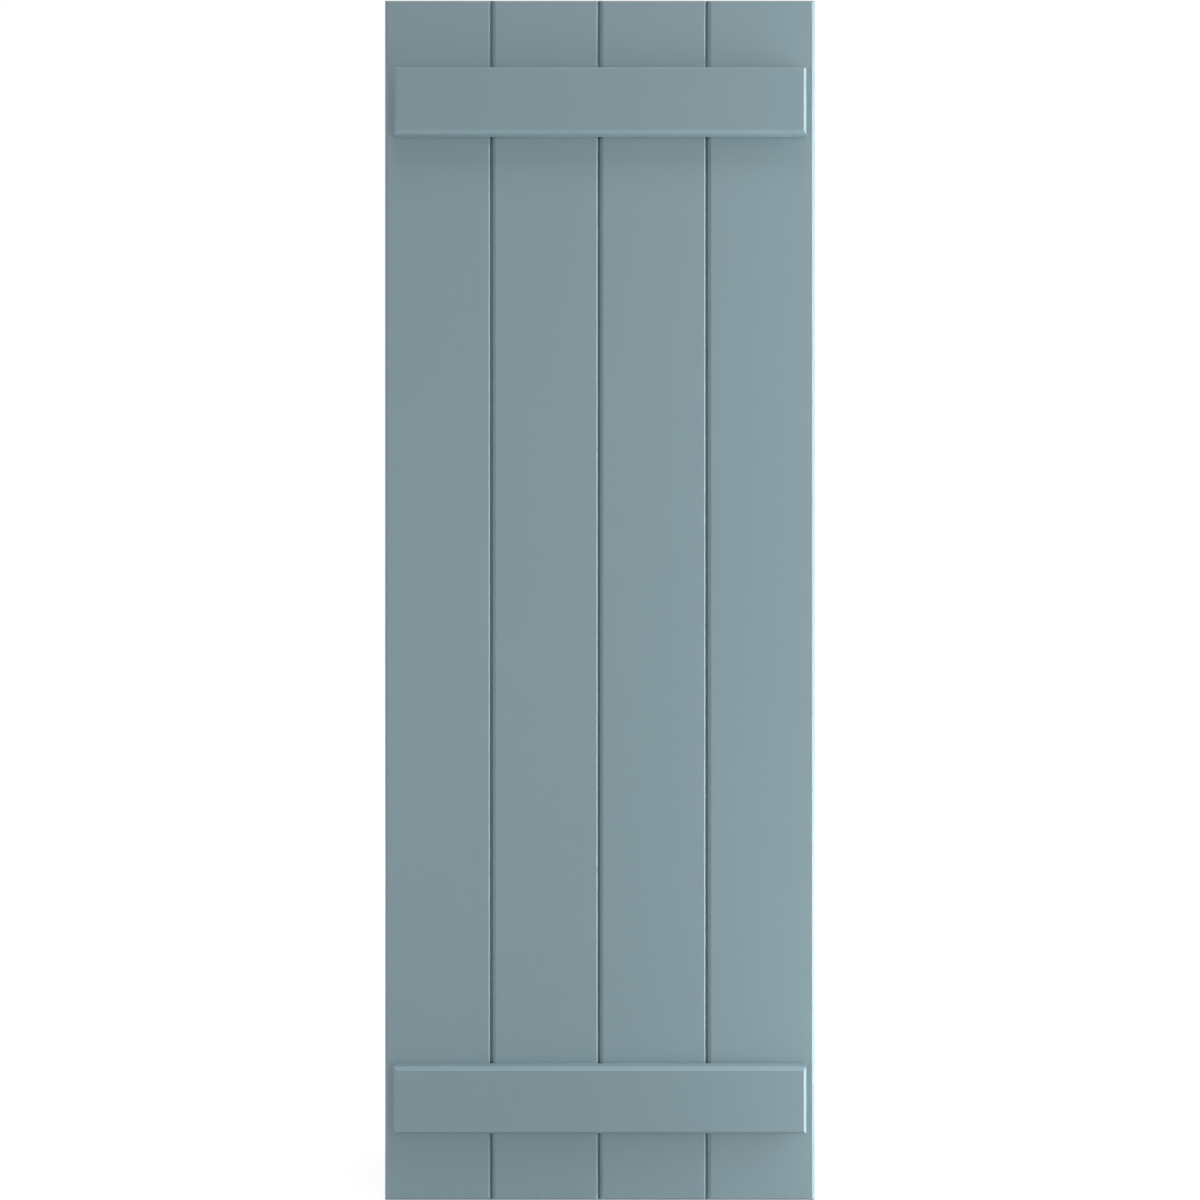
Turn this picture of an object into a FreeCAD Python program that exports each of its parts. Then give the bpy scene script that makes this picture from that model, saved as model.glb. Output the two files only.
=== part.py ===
import FreeCAD, Part
import os

# Board and batten shutter, in millimetres. X runs across the shutter, Z up it, and Y from its
# front (-Y) to its back, which is the plane Y = 0. The origin is the middle of the back.

BOARD_COUNT = 4
BOARD_WIDTH = 136.525
BOARD_LENGTH = 1524.0
BOARD_THICKNESS = 12.7
BOARD_CHAMFER = 4.4

TONGUE_THICKNESS = 3.6
TONGUE_REACH = 6.0
TONGUE_EASE = 0.5
TONGUE_CLEARANCE = 0.15
TONGUE_TIP_CLEARANCE = 0.6

BATTEN_HEIGHT = 84.3
BATTEN_THICKNESS = 12.7
BATTEN_CHAMFER = 3.9
BATTEN_SIDE_INSET = 13.5
BATTEN_END_INSET = 91.2

SCREW_HEAD_DIAMETER = 5.6
SCREW_HEAD_HEIGHT = 1.05
SCREW_SHANK_DIAMETER = 4.2
SCREW_SINK = 0.2
SCREW_COVER = 5.0
SCREW_CLEARANCE = 0.1
SCREW_SPREAD = 75.0
SCREW_STAGGER = 34.0
RECESS_WIDTH = 2.4
RECESS_DEPTH = 1.8

# Sizes that follow from those above.
SHUTTER_WIDTH = BOARD_COUNT * BOARD_WIDTH
EDGE_DEPTH = BOARD_THICKNESS - BOARD_CHAMFER
BATTEN_LENGTH = SHUTTER_WIDTH - 2 * BATTEN_SIDE_INSET
BATTEN_CENTRE = BOARD_LENGTH / 2 - BATTEN_END_INSET - BATTEN_HEIGHT / 2
SCREW_END_DEPTH = BOARD_THICKNESS + BATTEN_THICKNESS - SCREW_COVER


def chamfer_front(solid, size):
    """Plane a 45 degree chamfer along every edge of the frontmost face, mitred at its corners."""
    front = min(solid.Faces, key=lambda face: face.CenterOfMass.y)
    return solid.makeChamfer(size, front.Edges)


def tongue_outline(edge_x, growth, reach):
    """Draw the tongue's section on a board's edge, grown on each side, ready to stand upright."""
    middle = -EDGE_DEPTH / 2
    half = TONGUE_THICKNESS / 2 + growth
    bottom = -BOARD_LENGTH / 2
    tip = edge_x + reach
    corners = [
        (edge_x, middle - half),
        (tip - TONGUE_EASE, middle - half),
        (tip, middle - half + TONGUE_EASE),
        (tip, middle + half - TONGUE_EASE),
        (tip - TONGUE_EASE, middle + half),
        (edge_x, middle + half),
    ]
    points = [FreeCAD.Vector(x, y, bottom) for x, y in corners]
    section = Part.Face(Part.makePolygon(points + points[:1]))
    return section.extrude(FreeCAD.Vector(0, 0, BOARD_LENGTH))


def board(index):
    """Make a board: chamfered all round its front, grooved on its left edge, tongued on its right."""
    left = index * BOARD_WIDTH - SHUTTER_WIDTH / 2
    corner = FreeCAD.Vector(left, -BOARD_THICKNESS, -BOARD_LENGTH / 2)
    blank = Part.makeBox(BOARD_WIDTH, BOARD_THICKNESS, BOARD_LENGTH, corner)
    solid = chamfer_front(blank, BOARD_CHAMFER)
    if index > 0:
        groove_reach = TONGUE_REACH + TONGUE_TIP_CLEARANCE
        solid = solid.cut(tongue_outline(left, TONGUE_CLEARANCE, groove_reach))
    if index < BOARD_COUNT - 1:
        tongue = tongue_outline(left + BOARD_WIDTH, 0.0, TONGUE_REACH)
        solid = solid.fuse(tongue).removeSplitter()
    return solid


def batten(centre_z):
    """Make a batten lying across the boards' front, chamfered all round its own front."""
    front = -BOARD_THICKNESS - BATTEN_THICKNESS
    corner = FreeCAD.Vector(-BATTEN_LENGTH / 2, front, centre_z - BATTEN_HEIGHT / 2)
    blank = Part.makeBox(BATTEN_LENGTH, BATTEN_THICKNESS, BATTEN_HEIGHT, corner)
    return chamfer_front(blank, BATTEN_CHAMFER)


def turned(corners, x, z):
    """Turn a section of (radius, depth) corners about a line square to the back at (x, z)."""
    points = [FreeCAD.Vector(x + radius, -depth, z) for radius, depth in corners]
    section = Part.Face(Part.makePolygon(points + points[:1]))
    return section.revolve(FreeCAD.Vector(x, 0, z), FreeCAD.Vector(0, 1, 0), 360)


def screw(x, z):
    """Make a small-headed countersunk screw, sunk just under the back, with a square recess."""
    head = SCREW_HEAD_DIAMETER / 2
    shank = SCREW_SHANK_DIAMETER / 2
    corners = [
        (0.0, SCREW_SINK),
        (head, SCREW_SINK),
        (shank, SCREW_SINK + SCREW_HEAD_HEIGHT),
        (shank, SCREW_END_DEPTH),
        (0.0, SCREW_END_DEPTH),
    ]
    recess_floor = -SCREW_SINK - RECESS_DEPTH
    corner = FreeCAD.Vector(x - RECESS_WIDTH / 2, recess_floor, z - RECESS_WIDTH / 2)
    recess = Part.makeBox(RECESS_WIDTH, RECESS_DEPTH, RECESS_WIDTH, corner)
    return turned(corners, x, z).cut(recess)


def screw_hole(x, z):
    """Make the hole drilled for a screw, its countersink carried on up to the back."""
    shank = SCREW_SHANK_DIAMETER / 2 + SCREW_CLEARANCE
    head_slope = (SCREW_HEAD_DIAMETER - SCREW_SHANK_DIAMETER) / 2 / SCREW_HEAD_HEIGHT
    countersink_depth = SCREW_SINK + SCREW_HEAD_HEIGHT
    corners = [
        (0.0, 0.0),
        (shank + countersink_depth * head_slope, 0.0),
        (shank, countersink_depth),
        (shank, SCREW_END_DEPTH + SCREW_CLEARANCE),
        (0.0, SCREW_END_DEPTH + SCREW_CLEARANCE),
    ]
    return turned(corners, x, z)


def screw_places(centre_z):
    """Set out a batten's screws: two in each board, side by side, one low and one high."""
    places = []
    for index in range(BOARD_COUNT):
        centre_x = (index + 0.5) * BOARD_WIDTH - SHUTTER_WIDTH / 2
        for side in (-0.5, 0.5):
            x = centre_x + side * SCREW_SPREAD
            z = centre_z + side * SCREW_STAGGER
            places.append((x, z))
    return places


nodes = {}
holes = []
for name, centre in (("top", BATTEN_CENTRE), ("bottom", -BATTEN_CENTRE)):
    nodes[name + "_batten"] = batten(centre)
    for number, place in enumerate(screw_places(centre), start=1):
        nodes[name + "_screw_" + str(number)] = screw(*place)
        holes.append(screw_hole(*place))
for index in range(BOARD_COUNT):
    nodes["board_" + str(index + 1)] = board(index)

drilled = Part.makeCompound(holes)
os.makedirs("parts", exist_ok=True)
for node, solid in nodes.items():
    if "screw" not in node:
        solid = solid.cut(drilled)
    solid.exportStep("parts/" + node + ".step")
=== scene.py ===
import math

import bpy
import numpy as np
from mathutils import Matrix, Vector


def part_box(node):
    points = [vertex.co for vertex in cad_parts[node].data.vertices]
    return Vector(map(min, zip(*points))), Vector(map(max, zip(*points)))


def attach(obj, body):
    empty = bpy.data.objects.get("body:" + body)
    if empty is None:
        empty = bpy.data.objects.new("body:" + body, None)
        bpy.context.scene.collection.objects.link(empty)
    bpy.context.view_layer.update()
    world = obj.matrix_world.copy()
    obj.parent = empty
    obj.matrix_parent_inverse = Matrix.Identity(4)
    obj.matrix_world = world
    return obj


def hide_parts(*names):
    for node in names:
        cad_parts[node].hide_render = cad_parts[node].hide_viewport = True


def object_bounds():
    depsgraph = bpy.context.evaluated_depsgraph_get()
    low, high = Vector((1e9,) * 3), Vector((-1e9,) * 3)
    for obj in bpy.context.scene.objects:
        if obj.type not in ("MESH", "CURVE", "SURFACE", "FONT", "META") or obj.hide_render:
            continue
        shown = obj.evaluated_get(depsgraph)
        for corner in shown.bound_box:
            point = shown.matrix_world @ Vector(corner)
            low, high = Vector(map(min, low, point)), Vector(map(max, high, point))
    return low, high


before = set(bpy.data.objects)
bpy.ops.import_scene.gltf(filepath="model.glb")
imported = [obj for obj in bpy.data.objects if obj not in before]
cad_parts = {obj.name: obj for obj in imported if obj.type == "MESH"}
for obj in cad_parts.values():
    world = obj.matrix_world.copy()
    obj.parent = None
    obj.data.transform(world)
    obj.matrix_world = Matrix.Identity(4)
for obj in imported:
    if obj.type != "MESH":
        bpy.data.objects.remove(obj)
cad_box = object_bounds()

BOARDS = sorted(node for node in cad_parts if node.startswith("board"))
BATTENS = sorted(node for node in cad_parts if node.endswith("batten"))
SCREWS = sorted(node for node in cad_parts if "screw" in node)

# Sizes in metres. X runs across the shutter and Z up it, both from its middle, and Y runs from the
# front, which looks towards -Y, to the flat back at zero.
ACROSS, UP = 0, 2
SHUTTER_LEFT = cad_box[0].x
SHUTTER_WIDTH = cad_box[1].x - cad_box[0].x
SHUTTER_BOTTOM = cad_box[0].z
BOARD_WIDTH = SHUTTER_WIDTH / len(BOARDS)
BOARD_LENGTH = cad_box[1].z - cad_box[0].z
BOARD_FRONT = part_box(BOARDS[0])[0].y
BOARD_THICKNESS = -BOARD_FRONT
BOARD_CHAMFER = 0.0044
BACK_EASE = 0.0005
TONGUE_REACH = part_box(BOARDS[0])[1].x - SHUTTER_LEFT - BOARD_WIDTH
TONGUE_THICKNESS = 0.0036
TONGUE_EASE = 0.0005
TONGUE_CLEARANCE = 0.00015
TONGUE_TIP_CLEARANCE = 0.0006
BATTEN_CHAMFER = 0.0039
ARRIS = 0.00015
ARRIS_STEPS = 3
SHARP_ANGLE = math.radians(30)

# A screw's sizes are radii, and depths below the back.
SCREW_HEAD = (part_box(SCREWS[0])[1].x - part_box(SCREWS[0])[0].x) / 2
SCREW_SHANK = 0.0021
SCREW_CLEARANCE = 0.0001
SCREW_SINK = 0.0002
SCREW_HEAD_HEIGHT = 0.00105
SCREW_NECK = SCREW_SINK + SCREW_HEAD_HEIGHT
RECESS_HALF = 0.0012
RECESS_DEPTH = 0.0018
THREAD_START = 0.004
THREAD_PITCH = 0.0018
THREAD_DEPTH = 0.0005
THREAD_STEPS = 10
RIDGE_SHARE = 0.3
POINT_LENGTH = 0.004
POINT_BLUNTNESS = 0.08
HOLE = SCREW_SHANK + SCREW_CLEARANCE
HOLE_MOUTH = HOLE + (SCREW_HEAD - SCREW_SHANK) * SCREW_NECK / SCREW_HEAD_HEIGHT
HOLE_CELL = 0.008
ROUND = 32

# The finishes' patterns. A scale is in patches to a metre, and a stretch below one draws the patches
# out into lines.
PAINT_DARK = (0.1795, 0.258, 0.287, 1)
PAINT_LIGHT = (0.1955, 0.276, 0.306, 1)
PAINT_RELIEF = 0.00008
DRIFT_SCALE = 4.0
LINE_SCALE = 420.0
LINE_STRETCH = 0.01
PEEL_SCALE = 800.0
SAW_SCALE = 1100.0
SAW_STRETCH = 0.03
SAWN_FACING = 0.9
STEEL_DARK = (0.27, 0.265, 0.255, 1)
STEEL_LIGHT = (0.45, 0.44, 0.42, 1)
STEEL_RELIEF = 0.00001
MOTTLE_SCALE = 900.0
SCUFF_SCALE = 2500.0
SCUFF_STRETCH = 0.1
PATTERN_DETAIL = 2.0

# How much each pattern counts in a finish's tone, in the height of its relief and in its roughness.
DRIFT_TONE = 0.55
LINE_TONE = 0.3
PEEL_TONE = 0.15
SAW_TONE = 0.25
LINE_HEIGHT = 0.4
SAW_HEIGHT = 1.5
PAINT_ROUGHNESS = 0.52
DRIFT_ROUGHNESS = 0.08
LINE_ROUGHNESS = 0.06
SAWN_ROUGHNESS = 0.12
STEEL_ROUGHNESS = 0.40
SCUFF_ROUGHNESS = 0.2

# The camera stands level with the shutter's middle, and its view is just as tall as the shutter.
CAMERA_DISTANCE = 1.3164
CAMERA_HEIGHT = 0.0003
VIEW_ANGLE = math.radians(60)
NEAREST_SEEN = 0.01

# The floor glows to the eye by one share near the shutter, and fully from some way off.
FLOOR_HALF = 12.0
FLOOR_GAP = 0.0005
FLOOR_TONE = 0.4
FLOOR_GLOW = 0.7
FLOOR_NEAR = 0.9
FLOOR_FAR = 2.0

# How strong the light from all round is, and how wide the lamps on the right are.
AMBIENT = 0.05
RAKE_WIDTH = 0.14


def new_piece(name, points, faces, finish, node):
    """Put worked-out points and faces into a mesh that stands for one node of the frame."""
    mesh = bpy.data.meshes.new(name)
    mesh.from_pydata(points.tolist(), [], faces)
    mesh.update()
    mesh.shade_smooth()
    mesh.materials.append(finish)
    piece = bpy.data.objects.new(name, mesh)
    bpy.context.scene.collection.objects.link(piece)
    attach(piece, "root")
    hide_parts(node)
    return piece


def soften(piece):
    """Round every arris a little, as sanding and paint do."""
    bevel = piece.modifiers.new("arris", "BEVEL")
    bevel.width = ARRIS
    bevel.segments = ARRIS_STEPS
    bevel.limit_method = "ANGLE"
    bevel.angle_limit = SHARP_ANGLE
    bevel.use_clamp_overlap = False
    bevel.harden_normals = True


def grid_faces(columns, rows):
    """Number the four corners of each cell of a grid of columns by rows, whose last column joins the
    first."""
    across = np.arange(columns)[:, None]
    beside = (across + 1) % columns
    up = np.arange(rows - 1)[None, :]
    here = across * rows + up
    there = beside * rows + up
    return np.stack((here, there, there + 1, here + 1), axis=-1)


def capped_faces(columns, rows):
    """The faces of a grid that closes into a tube, with one more face over each end."""
    first = np.arange(columns) * rows
    last = first + rows - 1
    return [*grid_faces(columns, rows).reshape(-1, 4).tolist(), first[::-1].tolist(), last.tolist()]


def tongue_section(edge, near, far, reach):
    """Walk round a tongue on a board's edge, out along its near side and back along its far one,
    with both corners of its tip eased."""
    tip = edge + reach
    eased = tip - TONGUE_EASE
    there = [(edge, near), (eased, near), (tip, near + TONGUE_EASE)]
    back = [(tip, far - TONGUE_EASE), (eased, far), (edge, far)]
    return there + back


def board_section(has_groove, has_tongue, cuts):
    """Walk round a board's section from the front's left end, as (x, depth behind the front) corners:
    along the front, down the right chamfer, round the tongue, over the eased edge, back across the
    flat back with a corner at each cut, over its other eased edge, round the groove and up the left
    chamfer."""
    middle = (BOARD_CHAMFER + BOARD_THICKNESS) / 2
    near, far = middle - TONGUE_THICKNESS / 2, middle + TONGUE_THICKNESS / 2
    eased = BOARD_THICKNESS - BACK_EASE
    corners = [(BOARD_CHAMFER, 0), (BOARD_WIDTH - BOARD_CHAMFER, 0), (BOARD_WIDTH, BOARD_CHAMFER)]
    if has_tongue:
        corners += tongue_section(BOARD_WIDTH, near, far, TONGUE_REACH)
    corners += [(BOARD_WIDTH, eased), (BOARD_WIDTH - BACK_EASE, BOARD_THICKNESS)]
    corners += [(cut, BOARD_THICKNESS) for cut in sorted(cuts, reverse=True)]
    corners += [(BACK_EASE, BOARD_THICKNESS), (0, eased)]
    if has_groove:
        floor = TONGUE_REACH + TONGUE_TIP_CLEARANCE
        groove = tongue_section(0, near - TONGUE_CLEARANCE, far + TONGUE_CLEARANCE, floor)
        corners += groove[::-1]
    corners += [(0, BOARD_CHAMFER)]
    return np.array(corners)


def ring(x, z, radius, depth):
    """A circle of points about a line square to the back, walked the way the back's cells are and
    begun towards a cell's corner."""
    angle = -math.pi / 4 - 2 * math.pi * np.arange(ROUND) / ROUND
    across = x + radius * np.cos(angle)
    up = z + radius * np.sin(angle)
    return np.stack((across, np.full(ROUND, -depth), up), axis=1)


def screws_between(left, right):
    """Where the screws between two uprights stand, as (x, z)."""
    middles = [(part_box(node)[0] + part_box(node)[1]) / 2 for node in SCREWS]
    return [(middle.x, middle.z) for middle in middles if left < middle.x < right]


def countersink(corners, first):
    """The faces of a countersunk hole in one cell of the back, its points numbered from first: four
    from the cell's sides to the mouth's quarter circles, a cone down to the shank's ring, and a floor
    there."""
    rim = first + np.arange(ROUND)
    beside = np.roll(rim, -1)
    faces = np.stack((rim, beside, beside + ROUND, rim + ROUND), axis=1).tolist()
    faces.append((rim + ROUND).tolist())
    sides = len(corners)
    for side in range(sides):
        start, stop = side * ROUND // sides, (side + 1) * ROUND // sides
        quarter = np.arange(stop, start - 1, -1) % ROUND
        faces.append([corners[side], corners[(side + 1) % sides], *rim[quarter]])
    return faces


def board(node, index, finish):
    """A board is its section carried straight up. Each end stops at half the length less the
    chamfer's rise, max(0, chamfer - depth), so the front's chamfer runs on across both ends.
    The back is cut into cells, and a cell with a screw in it gets a countersunk hole."""
    left = SHUTTER_LEFT + index * BOARD_WIDTH
    screws = screws_between(left, left + BOARD_WIDTH)
    edges = (-HOLE_CELL / 2, HOLE_CELL / 2)
    # Cuts are rounded to a thousandth of a millimetre, so that screws in line share them.
    cuts = sorted({round(x - left + edge, 6) for x, _ in screws for edge in edges})
    levels = np.array(sorted(z + edge for _, z in screws for edge in edges))
    section = board_section(index > 0, index < len(BOARDS) - 1, cuts)

    ends = BOARD_LENGTH / 2 - np.maximum(0, BOARD_CHAMFER - section[:, 1])
    columns, rows = len(section), len(levels) + 2
    heights = np.broadcast_to(levels, (columns, len(levels)))
    z = np.concatenate((-ends[:, None], heights, ends[:, None]), axis=1)
    x = np.broadcast_to(left + section[:, :1], z.shape)
    y = np.broadcast_to(BOARD_FRONT + section[:, 1:], z.shape)
    points = [np.stack((x, y, z), axis=-1).reshape(-1, 3)]

    cells = grid_faces(columns, rows)
    whole = np.ones(cells.shape[:2], bool)
    count = columns * rows
    faces = []
    for screw_x, screw_z in screws:
        column = int(np.argmin(np.abs(section[:, 0] - (screw_x - left + HOLE_CELL / 2))))
        row = int(np.argmin(np.abs(levels - (screw_z - HOLE_CELL / 2)))) + 1
        whole[column, row] = False
        faces += countersink(cells[column, row], count)
        points.append(ring(screw_x, screw_z, HOLE_MOUTH, 0))
        points.append(ring(screw_x, screw_z, HOLE, SCREW_NECK))
        count += 2 * ROUND
    faces += cells[whole].tolist()
    # Each end has two faces: the slope of its chamfer, and the square end behind that.
    for level, turn in ((0, -1), (rows - 1, 1)):
        corners = np.arange(columns) * rows + level
        faces.append(corners[[0, 1, 2, -1]][::turn].tolist())
        faces.append(corners[2:][::turn].tolist())
    soften(new_piece(node + "_planed", np.concatenate(points), faces, finish, node))


def batten(node, finish):
    """A batten is three oblongs, one behind the other, joined corner to corner: its back, the foot
    of its chamfer, and its front, drawn in by the chamfer all round."""
    low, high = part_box(node)
    inset = np.array((0, 0, BATTEN_CHAMFER))
    depth = np.array((high.y, low.y + BATTEN_CHAMFER, low.y))
    x = np.stack((low.x + inset, high.x - inset, high.x - inset, low.x + inset))
    z = np.stack((low.z + inset, low.z + inset, high.z - inset, high.z - inset))
    y = np.broadcast_to(depth, x.shape)
    points = np.stack((x, y, z), axis=-1).reshape(-1, 3)
    faces = capped_faces(*x.shape)
    soften(new_piece(node + "_planed", points, faces, finish, node))


def screw(node, finish):
    """A screw is a row of rings along its axis. The recess's rings are squares, with a radius of
    half / max(|cos|, |sin|), and the head and neck are circles. Below the neck the radius dips
    between the turns of a thread, a ridge that goes round once for each pitch, and it draws in to a
    point."""
    low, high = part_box(node)
    centre_x, centre_z = (low.x + high.x) / 2, (low.z + high.z) / 2
    angle = 2 * math.pi * np.arange(ROUND) / ROUND
    square = RECESS_HALF / np.maximum(np.abs(np.cos(angle)), np.abs(np.sin(angle)))
    turns = np.arange(THREAD_START, -low.y, THREAD_PITCH / THREAD_STEPS)
    phase = (turns[:, None] / THREAD_PITCH - angle / (2 * math.pi)) % 1
    ridge = np.maximum(0, 1 - np.abs(phase - 0.5) / RIDGE_SHARE)
    taper = np.clip((-low.y - turns[:, None]) / POINT_LENGTH, POINT_BLUNTNESS, 1)
    threaded = taper * (SCREW_SHANK - THREAD_DEPTH * (1 - ridge))
    circle = np.ones(ROUND)
    radius = np.vstack((square, square, SCREW_HEAD * circle, SCREW_SHANK * circle, threaded))
    depth = np.concatenate(([SCREW_SINK + RECESS_DEPTH, SCREW_SINK, SCREW_SINK, SCREW_NECK], turns))
    x = centre_x + radius * np.cos(angle)
    z = centre_z + radius * np.sin(angle)
    y = np.broadcast_to(-depth[:, None], x.shape)
    points = np.stack((x, y, z), axis=-1).transpose(1, 0, 2).reshape(-1, 3)
    faces = capped_faces(ROUND, len(depth))
    piece = new_piece(node + "_turned", points, faces, finish, node)
    piece.data.set_sharp_from_angle(angle=SHARP_ANGLE)


class Value:
    """One output of a node. Arithmetic on it adds Math nodes."""

    def __init__(self, graph, socket):
        self.graph = graph
        self.socket = socket

    def maths(self, operation, first, second):
        """Add one Math node, and return what it works out."""
        return self.graph.node("ShaderNodeMath", {"operation": operation}, {0: first, 1: second})

    def __add__(self, other):
        return self.maths("ADD", self, other)

    def __radd__(self, other):
        return self.maths("ADD", other, self)

    def __sub__(self, other):
        return self.maths("SUBTRACT", self, other)

    def __rsub__(self, other):
        return self.maths("SUBTRACT", other, self)

    def __mul__(self, other):
        return self.maths("MULTIPLY", self, other)

    def __rmul__(self, other):
        return self.maths("MULTIPLY", other, self)

    def __gt__(self, other):
        return self.maths("GREATER_THAN", self, other)

    def __abs__(self):
        return self.maths("ABSOLUTE", self, 0)


class Graph:
    """The nodes of one material or of the world."""

    def __init__(self, owner):
        owner.use_nodes = True
        self.tree = owner.node_tree
        self.tree.nodes.clear()

    def node(self, kind, settings=None, sockets=None, output=0):
        """Add a node of this kind, set it up, give its sockets values or links, and return one of its
        outputs."""
        node = self.tree.nodes.new(kind)
        for name, setting in (settings or {}).items():
            setattr(node, name, setting)
        for name, value in (sockets or {}).items():
            if isinstance(value, Value):
                self.tree.links.new(value.socket, node.inputs[name])
            else:
                node.inputs[name].default_value = value
        return Value(self, node.outputs[output]) if node.outputs else None


def noise(graph, where, scale, stretch=(1, 1, 1)):
    """Soft random patches from 0 to 1, scale of them to a metre, stretched along an axis."""
    placed = graph.node("ShaderNodeMapping", {}, {"Vector": where, "Scale": stretch})
    sockets = {"Vector": placed, "Scale": scale, "Detail": PATTERN_DETAIL}
    return graph.node("ShaderNodeTexNoise", {}, sockets)


def two_tone(graph, factor, dark, light):
    """A colour between dark and light."""
    sockets = {"Factor": factor, "A": dark, "B": light}
    return graph.node("ShaderNodeMix", {"data_type": "RGBA"}, sockets, output="Result")


def low_sheen_paint(name, along):
    """Grey-blue paint of low sheen, sprayed on a smooth planed board. Faint lines run along the board,
    a fine orange peel covers it, its tone drifts slowly, and the sawn ends are a little rougher."""
    material = bpy.data.materials.new(name)
    graph = Graph(material)
    where = graph.node("ShaderNodeTexCoord", output="Object")
    normal = graph.node("ShaderNodeNewGeometry", output="Normal")
    sawn = abs(graph.node("ShaderNodeSeparateXYZ", {}, {0: normal}, output=along)) > SAWN_FACING

    lengthwise = [LINE_STRETCH if axis == along else 1.0 for axis in range(3)]
    drift = noise(graph, where, DRIFT_SCALE)
    lines = noise(graph, where, LINE_SCALE, lengthwise)
    peel = noise(graph, where, PEEL_SCALE)
    marks = sawn * noise(graph, where, SAW_SCALE, (1.0, SAW_STRETCH, 1.0))

    tone = DRIFT_TONE * drift + LINE_TONE * lines + PEEL_TONE * peel - SAW_TONE * marks
    height = peel + LINE_HEIGHT * lines + SAW_HEIGHT * marks
    uneven = DRIFT_ROUGHNESS * drift + LINE_ROUGHNESS * lines + SAWN_ROUGHNESS * sawn
    rough = PAINT_ROUGHNESS + uneven
    colour = two_tone(graph, tone, PAINT_DARK, PAINT_LIGHT)
    bump = graph.node("ShaderNodeBump", {}, {"Distance": PAINT_RELIEF, "Height": height})
    sockets = {"Base Color": colour, "Roughness": rough, "Normal": bump}
    shader = graph.node("ShaderNodeBsdfPrincipled", {}, sockets)
    graph.node("ShaderNodeOutputMaterial", {}, {"Surface": shader})
    return material


def dull_steel(name):
    """Dull stainless steel, a little mottled and scuffed."""
    material = bpy.data.materials.new(name)
    graph = Graph(material)
    where = graph.node("ShaderNodeTexCoord", output="Object")
    mottle = noise(graph, where, MOTTLE_SCALE)
    scuffs = noise(graph, where, SCUFF_SCALE, (1.0, 1.0, SCUFF_STRETCH))
    colour = two_tone(graph, mottle, STEEL_DARK, STEEL_LIGHT)
    bump = graph.node("ShaderNodeBump", {}, {"Distance": STEEL_RELIEF, "Height": scuffs})
    rough = STEEL_ROUGHNESS + SCUFF_ROUGHNESS * scuffs
    sockets = {"Base Color": colour, "Metallic": 1.0, "Roughness": rough, "Normal": bump}
    shader = graph.node("ShaderNodeBsdfPrincipled", {}, sockets)
    graph.node("ShaderNodeOutputMaterial", {}, {"Surface": shader})
    return material


def build_shutter():
    """Make every board, batten and screw in its own place."""
    board_paint = low_sheen_paint("board_paint", UP)
    batten_paint = low_sheen_paint("batten_paint", ACROSS)
    steel = dull_steel("screw_steel")
    for index, node in enumerate(BOARDS):
        board(node, index, board_paint)
    for node in BATTENS:
        batten(node, batten_paint)
    for node in SCREWS:
        screw(node, steel)


def seen_directly(graph):
    """One where the camera, a mirror-like surface or a clear one looks straight at a thing, and zero
    for the light that it gives."""
    outputs = graph.node("ShaderNodeLightPath").socket.node.outputs
    camera = Value(graph, outputs["Is Camera Ray"])
    mirror = Value(graph, outputs["Is Glossy Ray"])
    clear = Value(graph, outputs["Is Transmission Ray"])
    clamped = {"operation": "ADD", "use_clamp": True}
    return graph.node("ShaderNodeMath", clamped, {0: camera + mirror, 1: clear})


def lay_floor():
    """A wide pale floor under the shutter. To the eye alone it also glows, by a share near the
    shutter, where the lamps and the shadow fall, that rises smoothly to a full white out beyond
    them."""
    material = bpy.data.materials.new("floor")
    graph = Graph(material)
    where = graph.node("ShaderNodeTexCoord", output="Object")
    away = graph.node("ShaderNodeVectorMath", {"operation": "LENGTH"}, {0: where}, output="Value")
    reach = {"From Min": FLOOR_NEAR, "From Max": FLOOR_FAR, "To Min": FLOOR_GLOW, "To Max": 1.0}
    smooth = {"interpolation_type": "SMOOTHSTEP"}
    share = graph.node("ShaderNodeMapRange", smooth, {"Value": away, **reach})
    tone = (FLOOR_TONE, FLOOR_TONE, FLOOR_TONE, 1)
    matt = graph.node("ShaderNodeBsdfDiffuse", {}, {"Color": tone})
    glow = graph.node("ShaderNodeEmission", {}, {"Color": share, "Strength": seen_directly(graph)})
    added = graph.node("ShaderNodeAddShader", {}, {0: matt, 1: glow})
    graph.node("ShaderNodeOutputMaterial", {}, {"Surface": added})
    mesh = bpy.data.meshes.new("floor")
    height = SHUTTER_BOTTOM - FLOOR_GAP
    sides = np.array(((-1, -1), (1, -1), (1, 1), (-1, 1))) * FLOOR_HALF
    mesh.from_pydata([(x, y, height) for x, y in sides], [], [(0, 1, 2, 3)])
    mesh.materials.append(material)
    floor = bpy.data.objects.new("floor", mesh)
    bpy.context.scene.collection.objects.link(floor)


def light_world():
    """A faint even light from all round, that looks white."""
    world = bpy.data.worlds.new("surround")
    bpy.context.scene.world = world
    graph = Graph(world)
    fill = graph.node("ShaderNodeBackground", {}, {"Color": (1, 1, 1, 1), "Strength": AMBIENT})
    white = graph.node("ShaderNodeBackground", {}, {"Color": (1, 1, 1, 1), "Strength": 1.0})
    mixed = graph.node("ShaderNodeMixShader", {}, {0: seen_directly(graph), 1: fill, 2: white})
    graph.node("ShaderNodeOutputWorld", {}, {"Surface": mixed})


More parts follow.
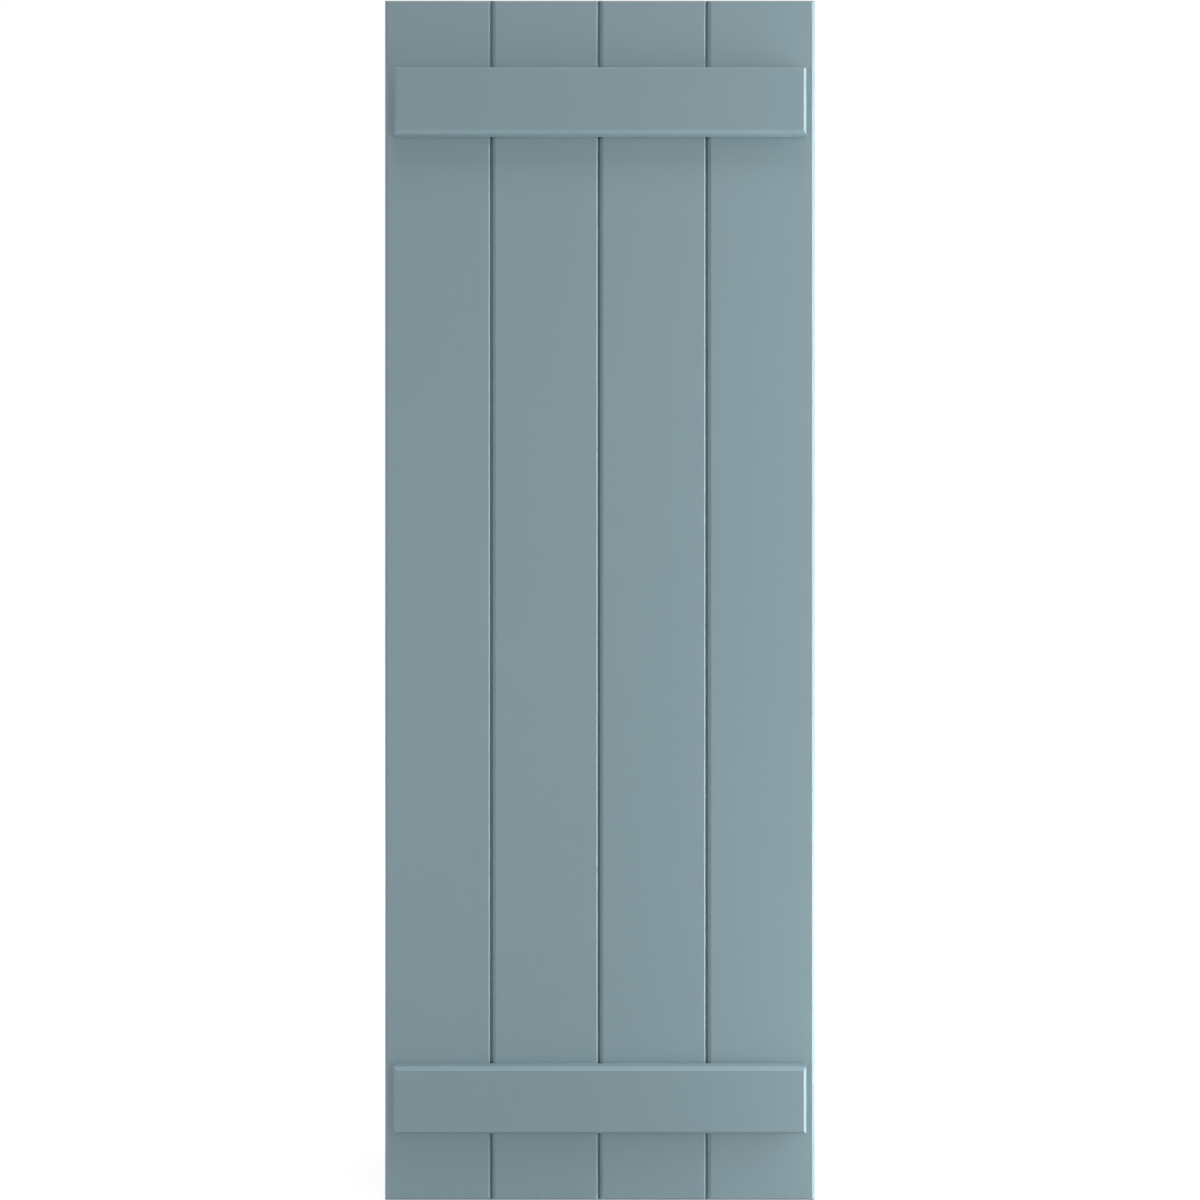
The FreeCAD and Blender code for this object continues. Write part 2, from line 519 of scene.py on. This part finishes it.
def soft_light(name, place, aim, width, height, power):
    """A flat oblong lamp at a place, facing a point."""
    lamp = bpy.data.lights.new(name, "AREA")
    lamp.shape = "RECTANGLE"
    lamp.size = width
    lamp.size_y = height
    lamp.energy = power
    holder = bpy.data.objects.new(name, lamp)
    holder.location = place
    holder.rotation_euler = (Vector(aim) - Vector(place)).to_track_quat("-Z", "Y").to_euler()
    holder.visible_camera = False
    bpy.context.scene.collection.objects.link(holder)


def raking(distance, angle, height):
    """A place on the right, this far out and at this angle in degrees to the boards' face."""
    return distance, BOARD_FRONT - distance * math.tan(math.radians(angle)), height


def hang_lamps():
    """Tall lamps on the right rake across the boards, helped at the top and the bottom. The rest
    are wide and soft: high and low on the left, high in front, overhead, and two behind for the
    back."""
    for name, place, tall, power in (
        ("right_far", raking(1.6, 10, 0.13), 1.74, 37.0),
        ("right_near", raking(0.9, 7, 0.13), 1.74, 5.2),
        ("right_high", raking(0.9, 7, 0.80), 0.35, 3.1),
        ("right_low", raking(0.9, 8, -0.62), 0.24, 4.2),
    ):
        level = (0, BOARD_FRONT, place[2])
        soft_light(name, place, level, RAKE_WIDTH, tall, power)
    for name, place, wide, tall, power in (
        ("left_high", (-2.6, -1.5, 1.0), 0.8, 0.5, 6.6),
        ("left_low", (-1.9, -1.9, -0.5), 0.8, 0.5, 27.5),
        ("front_high", (0, -2.6, 1.0), 1.2, 0.5, 11.1),
        ("overhead", (0, -0.7, 3.2), 1.2, 0.6, 34.4),
        ("back_left", (-1.5, 1.7, 0.6), 1.2, 1.2, 32.0),
        ("back_right", (1.2, 2.0, 0.2), 1.2, 1.2, 19.0),
    ):
        middle = (0, BOARD_FRONT, 0)
        soft_light(name, place, middle, wide, tall, power)


def set_camera():
    """Look straight at the front, from the distance that the photograph's perspective gives."""
    camera = bpy.data.cameras.new("camera")
    camera.angle = VIEW_ANGLE
    camera.clip_start = NEAREST_SEEN
    holder = bpy.data.objects.new("camera", camera)
    holder.location = (0, BOARD_FRONT - CAMERA_DISTANCE, CAMERA_HEIGHT)
    holder.rotation_euler = (math.pi / 2, 0, 0)
    bpy.context.scene.collection.objects.link(holder)
    bpy.context.scene.camera = holder


build_shutter()
lay_floor()
light_world()
hang_lamps()
set_camera()
bpy.context.scene.view_settings.view_transform = "Standard"
